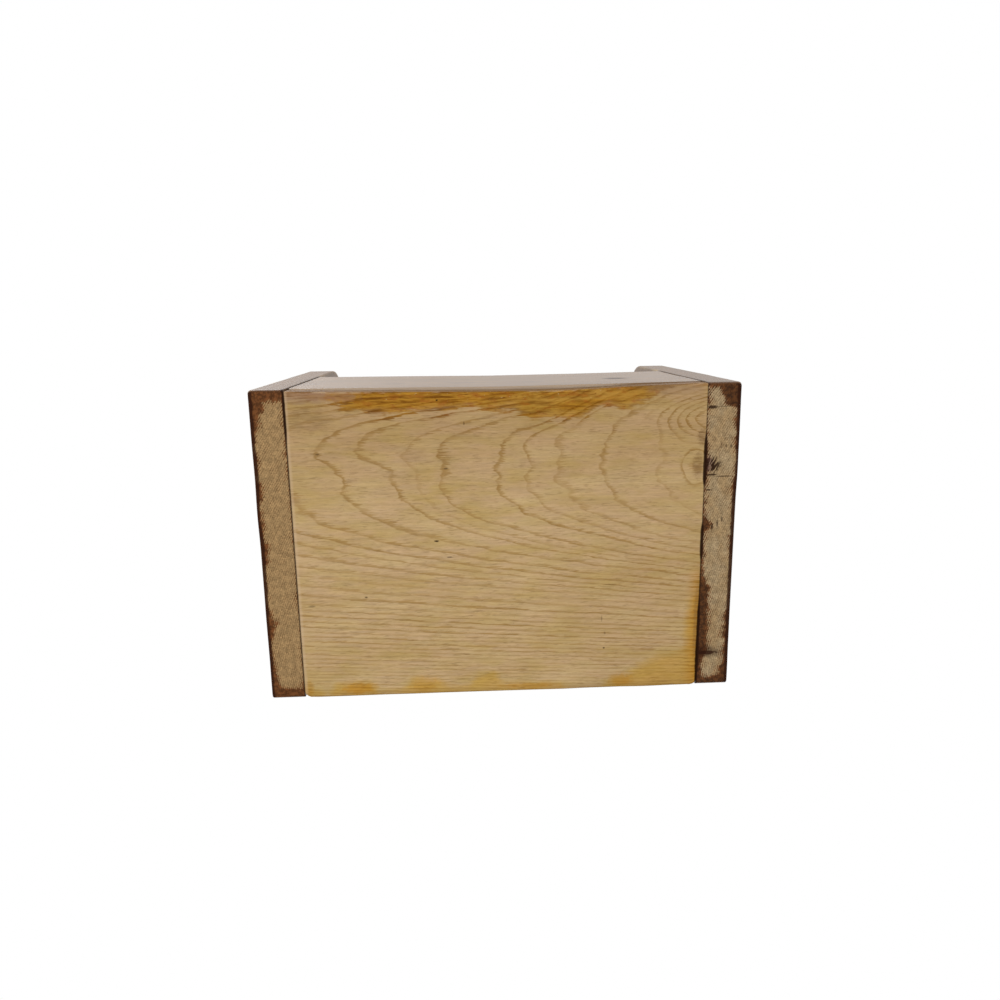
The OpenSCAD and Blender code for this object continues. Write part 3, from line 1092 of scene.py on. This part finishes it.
# How far varnish soaked into the sawn lower ends, on the left and on the right: in from the outer edge and from
# the seam by place along Y, and in from the front and back edges
OUTER_SOAK = {
    -1: (
        (-90, 11), (-80, 8), (-70, 5), (-63, 2), (-57, 1.6), (-54, 3.2), (-45, 3.2), (-42, 1.6), (-38, 4.2),
        (-30, 4.2), (-26, 2), (-21, 3.2), (-7, 3.4), (-3, 5.2), (6, 5.2), (9, 2), (19, 2), (30, 1.4), (37, 4.5),
        (43, 6), (50, 4), (56, 1.6), (64, 2.5), (70, 3.5), (80, 5), (90, 8),
    ),
    1: (
        (-90, 13), (-84, 12), (-78, 9), (-75, 2), (-68, 3.5), (-58, 3.5), (-50, 1.5), (-36, 2), (-31, 4.5),
        (-25, 2.5), (-18, 3), (-8, 2), (5, 3.5), (12, 1.5), (40, 2), (48, 5), (56, 5), (64, 3.5), (72, 4.5),
        (90, 8),
    ),
}
SEAM_SOAK = {
    -1: ((-90, 4), (-80, 1), (0, 0), (74, 0), (90, 4)),
    1: (
        (-90, 1), (-50, 1), (-47, 2), (-40, 2), (-30, 1.5), (-14, 1.5), (-9, 6), (-3, 1.5), (22, 2), (28, 6.5),
        (40, 6), (46, 6.5), (58, 6.5), (62, 7), (70, 6), (76, 2.5), (84, 4), (90, 9),
    ),
}
FRONT_SOAK = {-1: 7.0, 1: 3.6}
BACK_SOAK = {-1: 7.5, 1: 6.0}
# The end boards' rings: where the hearts of their trees lie, as (x, y), their width and how much they lean
END_HEARTS = {-1: (245, 179), 1: (480, 150)}
END_RING = 1.15
END_LEAN = 0.05


def end_soak(points, side):
    """How far inside the soaked area a point of a sawn lower end lies: the most that its reach from any
    edge exceeds its distance to that edge."""
    from_seam = np.abs(points[:, X]) - TRAY_HALF_LENGTH
    return np.max(
        [
            by_place(points, Y, OUTER_SOAK[side]) - (END_THICKNESS - from_seam),
            by_place(points, Y, SEAM_SOAK[side]) - from_seam,
            FRONT_SOAK[side] - (HALF_DEPTH + points[:, Y]),
            BACK_SOAK[side] - (HALF_DEPTH - points[:, Y]),
        ],
        axis=0,
    )


def make_end_board(name, node, side, seed, material):
    """An end board as one sheet, closed both ways: through the bore, out over the outer face, across the
    edge and back over the inner face. Each row goes all round the board. A face is -1 for the outer and 1
    for the inner."""
    outline = end_outline()
    ahead = np.roll(outline, -1, axis=0) - np.roll(outline, 1, axis=0)
    normal = np.stack([ahead[:, 1], -ahead[:, 0]], 1) / np.linalg.norm(ahead, axis=1)[:, None]
    middle = np.array([0, ROD_HEIGHT])
    spoke = (outline - middle) / np.linalg.norm(outline - middle, axis=1)[:, None]
    half = END_THICKNESS / 2
    around = np.column_stack([np.zeros(len(outline)), outline])
    worn = np.clip(1.3 + 0.6 * ripple(around, 21, seed), LEAST_ARRIS, WIDEST_ARRIS)
    joint = smooth_step(outline[:, 1], TRAY_TOP + 6, TRAY_TOP)
    arris = {-1: worn, 1: worn * (1 - joint) + JOINT_ARRIS * joint}
    # The inner arris counts as this far away where the tray guards it from wear
    guarded = {-1: np.zeros(len(outline)), 1: 6 * joint}
    bore_arris = 0.6
    quarter = np.linspace(0, np.pi / 2, 5)
    face_rows, edge_rows = 58, 18
    face_shares = 0.5 - 0.5 * np.cos(np.linspace(0, np.pi, face_rows))
    mouth = middle + spoke * (BORE_RADIUS + bore_arris)
    rows = []
    distances = []

    def add_row(flat, depth, distance):
        """A row of points at that depth, with their distances to the nearest edge."""
        rows.append(np.column_stack([np.broadcast_to(depth, len(flat)), flat]))
        distances.append(np.broadcast_to(distance, len(flat)))

    def add_bore_arris(face, turns):
        """A small quarter round where the bore meets a face."""
        for turn in turns:
            reach = BORE_RADIUS + bore_arris * (1 - np.cos(turn))
            add_row(middle + spoke * reach, face * (half - bore_arris * (1 - np.sin(turn))), 0.0)

    def add_face(face, shares):
        """Straight lines from the bore's mouth to the start of the outer arris."""
        rim = outline - normal * arris[face][:, None]
        span = np.linalg.norm(rim - mouth, axis=1)
        for share in shares:
            distance = np.minimum(share * span, (1 - share) * span + guarded[face])
            add_row(mouth + share * (rim - mouth), face * half, distance)

    def add_arris(face, turns):
        """A quarter round from a face to the edge."""
        radius = arris[face]
        rim = outline - normal * radius[:, None]
        for turn in turns:
            flat = rim + normal * (radius * np.sin(turn))[:, None]
            add_row(flat, face * (half - radius * (1 - np.cos(turn))), guarded[face])

    add_bore_arris(-1, quarter[:-1])
    add_face(-1, face_shares)
    add_arris(-1, quarter[1:-1])
    start = -half + arris[-1]
    stop = half - arris[1]
    for share in np.linspace(0, 1, edge_rows):
        distance = np.minimum(share * END_THICKNESS, (1 - share) * END_THICKNESS + guarded[1])
        add_row(outline, start + share * (stop - start), distance)
    add_arris(1, quarter[-2:0:-1])
    add_face(1, face_shares[::-1])
    add_bore_arris(1, quarter[-2::-1])

    sheet = np.concatenate(rows)
    quads = grid_quads(len(rows) + 1, len(outline)) % len(sheet)
    points = sheet.copy()
    points[:, X] = side * (END_MIDDLE_X - sheet[:, X])
    heart_x, heart_y = END_HEARTS[side]
    from_heart = np.hypot(points[:, X] - heart_x, points[:, Y] - heart_y + END_LEAN * points[:, Z])
    # Joint dirt reaches by place at the lower end, and evenly above it
    even_dirt = 0.4
    marks = {
        "growth": from_heart / END_RING + 0.5 * ripple(points, (30, 30, 90), seed + 1),
        "vigour": np.ones(len(points)),
        "arris": np.concatenate(distances),
        "soak": end_soak(points, side),
        "dirt": np.where(points[:, Z] < 3, dirt_reach(points), even_dirt),
        "corner_depth": tray_corner_depth(points),
    }
    flat = np.abs(sheet[:, X]) > half - HAIR
    inwards = side * np.sign(sheet[:, X]) * waves(points, END_SINK, (60, 22, 70), seed + 2)
    points[:, X] += np.where(flat, inwards, 0)
    on_top = points[:, Z] > END_HEIGHT - HAIR
    points[:, Z] -= np.where(on_top, waves(points, TOP_SINK, (9, 30, 30), seed + 3), 0)
    make_piece(name, node, points, facing_out(points, quads).tolist(), marks, material)


# The rod's rings: where the heart of the tree lies, as (y, z), their width and how much they lean
ROD_HEART = (18, ROD_HEIGHT - 22)
ROD_RING = 2.1
ROD_LEAN = 0.02
# How much thinner hands wore the rod in the middle, and how far along it
ROD_WORN, ROD_WORN_LENGTH = 0.35, 60


def make_rod(material):
    """The rod as a surface of revolution: a flat end, a rounded arris, a long barrel that hands wore a
    little thinner in the middle, by a bell curve, and the same again. Its two ends are closed by a fan of
    triangles."""
    columns = 96
    barrel_rows, end_rows = 170, 12
    arris = 0.9
    half = rod_high[X] - 0.1
    quarter = np.linspace(0, np.pi / 2, 6)
    end_radii = np.linspace(0.5, ROD_RADIUS - arris, end_rows)
    corner_x = half - arris * (1 - np.cos(quarter))
    corner_r = ROD_RADIUS - arris * (1 - np.sin(quarter))
    barrel_x = np.linspace(half - arris, -(half - arris), barrel_rows)[1:-1]
    end_x = np.full(end_rows, half)
    barrel_r = np.full(len(barrel_x), ROD_RADIUS)
    along = np.concatenate([end_x, corner_x[1:], barrel_x, -corner_x[:0:-1], -end_x])
    reach = np.concatenate([end_radii, corner_r[1:], barrel_r, corner_r[:0:-1], end_radii[::-1]])
    turn = np.linspace(0, 2 * np.pi, columns, endpoint=False)
    worn = ROD_WORN * np.exp(-((along / ROD_WORN_LENGTH) ** 2))
    radius = reach - worn * (reach > ROD_RADIUS - arris)
    points = np.stack(
        [
            np.repeat(along, columns),
            np.outer(radius, np.cos(turn)).ravel(),
            np.outer(radius, np.sin(turn)).ravel() + ROD_HEIGHT,
        ],
        1,
    )
    rows = len(along)
    quads = facing_out(points, grid_quads(rows, columns))
    poles = np.array([[half, 0, ROD_HEIGHT], [-half, 0, ROD_HEIGHT]])
    points = np.concatenate([points, poles])
    ring = np.arange(columns)
    beside = np.roll(ring, -1)
    pole = np.full(columns, rows * columns)
    last = (rows - 1) * columns
    fans = np.concatenate(
        [np.stack([pole, ring, beside], 1), np.stack([pole + 1, last + beside, last + ring], 1)]
    )
    heart_y, heart_z = ROD_HEART
    from_heart = np.hypot(points[:, Y] - heart_y, points[:, Z] - heart_z + ROD_LEAN * points[:, X])
    from_end = half - np.abs(points[:, X])
    from_side = ROD_RADIUS - np.hypot(points[:, Y], points[:, Z] - ROD_HEIGHT)
    marks = {
        "growth": from_heart / ROD_RING + 0.3 * ripple(points, (80, 12, 12), 71),
        "vigour": np.ones(len(points)),
        "arris": np.maximum(from_end, from_side),
    }
    points[:, Y:] += 0.05 * ripple(points, 30, 72)[:, None]
    faces = quads.tolist() + fans.tolist()
    make_piece("handle_rod_wood", "handle_rod", points, faces, marks, material)


# Stage

# The floor, in metres, and how far from the middle it starts to fade and is gone, in millimetres
FLOOR_HEIGHT = 0.0002
FLOOR_HALF = 2.5
FADE_START, FADE_END = 700, 2200
FLOOR_COLOUR = shade(243, 242, 240)
# A camera below the caddy, as when it lies on its back: where it stands and what it looks at, in metres, with
# the front of the caddy at the top of the picture, and how far it is rolled
CAMERA_PLACE = Vector((-0.01833, -0.12272, -0.42762))
CAMERA_AIM = Vector((0.0002, -0.0265, 0.0))
CAMERA_ROLL = math.radians(-0.823)
LENS = 28.14
SENSOR = 36.0
# Large soft lamps: where each stands, in metres, its width, and the share of a full exposure that it gives
LAMPS = {
    "key_lamp": ((-1.0, -1.1, 1.5), 1.3, 0.5),
    "fill_lamp": ((1.3, -0.7, 1.0), 1.3, 0.2),
    "back_lamp": ((0.4, 1.5, 1.1), 1.3, 0.25),
    "under_lamp": ((-0.35, -0.8, -1.4), 1.6, 0.6),
}
LAMP_AIM = Vector((0, 0, 0.1))


def make_floor():
    """A pale floor, level with the base, that fades into the white around it. It can't be seen from below,
    and it casts no shadow on the caddy's underside."""
    material, web, _ = new_material("pale floor")
    nodes = material.node_tree.nodes
    from_middle = web.node("ShaderNodeVectorMath", {0: web.place()}, operation="LENGTH").outputs["Value"]
    below = web.node("ShaderNodeNewGeometry", {}).outputs["Backfacing"]
    pale = web.node("ShaderNodeBsdfDiffuse", {"Color": FLOOR_COLOUR}).outputs[0]
    clear = web.node("ShaderNodeBsdfTransparent", {}).outputs[0]
    unseen = web.most(below, web.step(from_middle, FADE_START, FADE_END))
    mixed = web.node("ShaderNodeMixShader", {0: unseen, 1: pale, 2: clear}).outputs[0]
    nodes.remove(nodes["Principled BSDF"])
    web.feed(nodes["Material Output"].inputs["Surface"], mixed)
    mesh = bpy.data.meshes.new("floor")
    corners = [(-1, -1), (1, -1), (1, 1), (-1, 1)]
    mesh.from_pydata([(x * FLOOR_HALF, y * FLOOR_HALF, FLOOR_HEIGHT) for x, y in corners], [], [(0, 1, 2, 3)])
    mesh.materials.append(material)
    floor = bpy.data.objects.new("floor", mesh)
    bpy.context.scene.collection.objects.link(floor)
    floor.visible_shadow = False
    floor.visible_diffuse = False


def make_world():
    """White where the camera, a reflection or a clear surface looks out, and a softer even light on the
    caddy."""
    world = bpy.data.worlds.new("studio")
    bpy.context.scene.world = world
    world.use_nodes = True
    web = Web(world.node_tree)
    background = world.node_tree.nodes["Background"].inputs
    path = web.node("ShaderNodeLightPath", {}).outputs
    seen = web.most(path["Is Camera Ray"], path["Is Glossy Ray"], path["Is Transmission Ray"])
    web.feed(background["Color"], (1.0, 1.0, 1.0, 1.0))
    web.feed(background["Strength"], web.span(seen, 0.5, 1.0))


def make_lamps():
    """Each lamp's power is what gives its share of a full exposure at the caddy, by the square of its
    distance."""
    for name, (place, width, share) in LAMPS.items():
        light = bpy.data.lights.new(name, "AREA")
        light.size = width
        towards = LAMP_AIM - Vector(place)
        light.energy = share * math.pi**2 * towards.length_squared
        lamp = bpy.data.objects.new(name, light)
        lamp.location = place
        lamp.rotation_euler = towards.to_track_quat("-Z", "Y").to_euler()
        lamp.visible_camera = False
        bpy.context.scene.collection.objects.link(lamp)


def make_camera():
    """A camera that looks from its place to its aim, with the caddy's front upwards."""
    camera = bpy.data.objects.new("camera", bpy.data.cameras.new("camera"))
    camera.data.lens = LENS
    camera.data.sensor_width = SENSOR
    camera.data.clip_start = 0.01
    ahead = (CAMERA_AIM - CAMERA_PLACE).normalized()
    right = ahead.cross(Vector((0, -1, 0))).normalized()
    up = right.cross(ahead)
    level = Matrix((right, up, -ahead)).transposed()
    rolled = level @ Matrix.Rotation(CAMERA_ROLL, 3, "Z")
    camera.matrix_world = Matrix.Translation(CAMERA_PLACE) @ rolled.to_4x4()
    bpy.context.scene.collection.objects.link(camera)
    bpy.context.scene.camera = camera


def dress_caddy():
    """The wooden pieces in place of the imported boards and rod, and a finish for the nails."""
    make_bottom_board(bare_bottom())
    sides = honey_sides()
    make_side_board("front_board_wood", "front_board", -1, 11, sides)
    make_side_board("back_board_wood", "back_board", 1, 21, sides)
    ends = brown_ends()
    make_end_board("left_end_board_wood", "left_end_board", -1, 31, ends)
    make_end_board("right_end_board_wood", "right_end_board", 1, 41, ends)
    make_rod(worn_rod())
    nails = dull_nails()
    for node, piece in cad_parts.items():
        if node.endswith(("_nails", "_brad")):
            piece.data.materials.clear()
            piece.data.materials.append(nails)


bpy.context.scene.view_settings.view_transform = "Standard"
make_camera()
make_world()
make_lamps()
make_floor()
dress_caddy()
